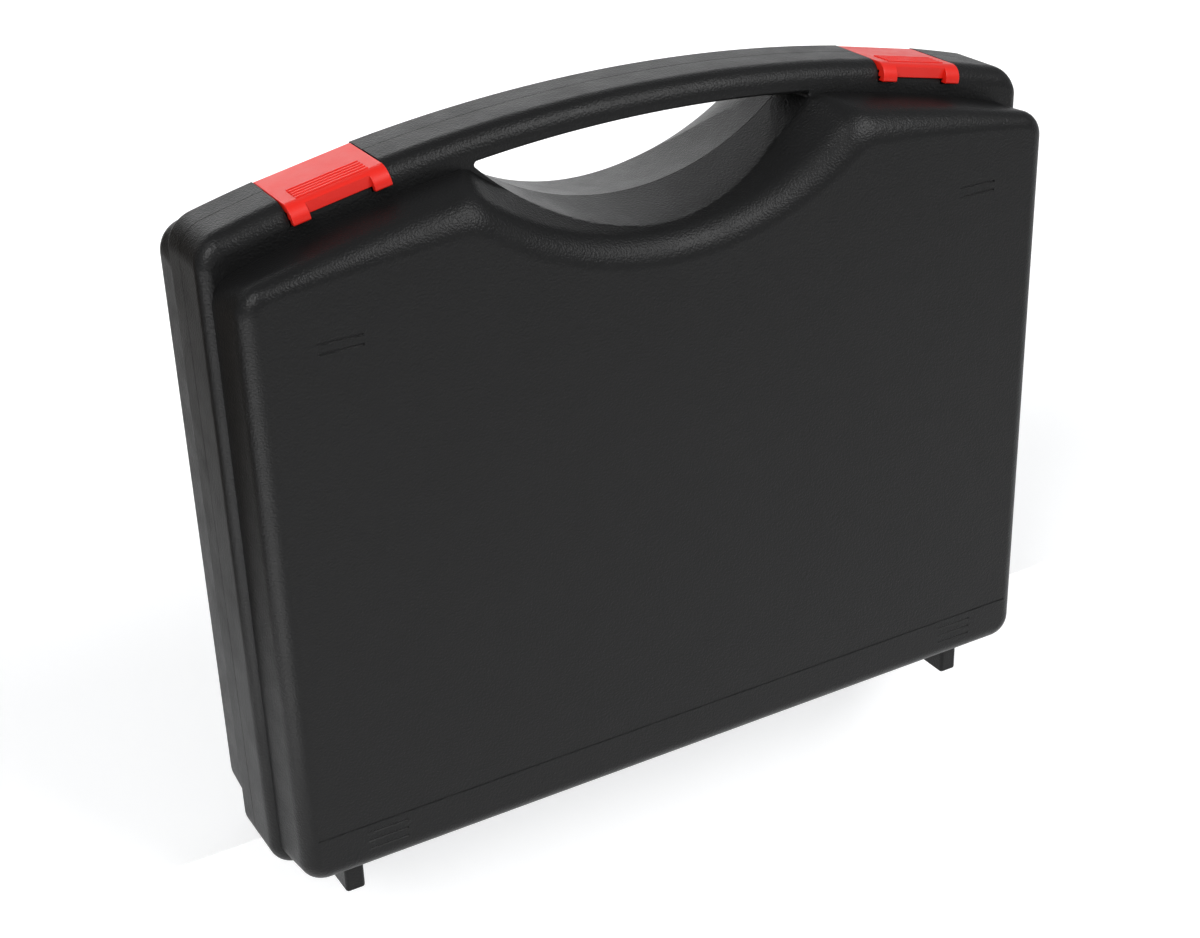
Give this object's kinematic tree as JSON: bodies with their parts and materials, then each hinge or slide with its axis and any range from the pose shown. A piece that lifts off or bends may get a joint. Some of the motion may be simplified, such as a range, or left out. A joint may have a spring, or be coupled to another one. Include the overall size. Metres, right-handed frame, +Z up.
{
  "type": "power tool carry case",
  "caption": "Two-shell moulded carry case with a hand opening under an arched grip, a bottom hinge and snap latches along the top.",
  "frame": {"origin": "middle of the four feet on the floor that they stand on, under the joint line of the two shells", "axes": "+X to the right along the case's width seen from the front, +Y from the front face to the rear face, +Z up to the handle"},
  "size_m": [0.394, 0.096, 0.3327],
  "materials": {
    "case_plastic": "fine moulded texture, black",
    "latch_plastic": "satin moulded, red",
    "pin_steel": "bright drawn wire"
  },
  "bodies": {
    "rear": {"rear_shell": "case_plastic", "left_latch_pin": "pin_steel", "right_latch_pin": "pin_steel", "left_hinge_pin": "pin_steel", "right_hinge_pin": "pin_steel"},
    "lid": {"front_shell": "case_plastic"},
    "left_catch": {"left_latch": "latch_plastic"},
    "right_catch": {"right_latch": "latch_plastic"}
  },
  "joints": [
    {"name": "lid_hinge", "type": "hinge", "parent": "rear", "child": "lid", "pos_m": [0, 0, 0.011], "axis": [1, 0, 0], "range_deg": [0, 110]},
    {"name": "left_latch_hinge", "type": "hinge", "parent": "rear", "child": "left_catch", "pos_m": [-0.13866, 0.0106, 0.31535], "axis": [-0.9811, 0, -0.1936], "range_deg": [0, 180]},
    {"name": "right_latch_hinge", "type": "hinge", "parent": "rear", "child": "right_catch", "pos_m": [0.13866, 0.0106, 0.31535], "axis": [-0.9811, 0, 0.1936], "range_deg": [0, 180]}
  ]
}
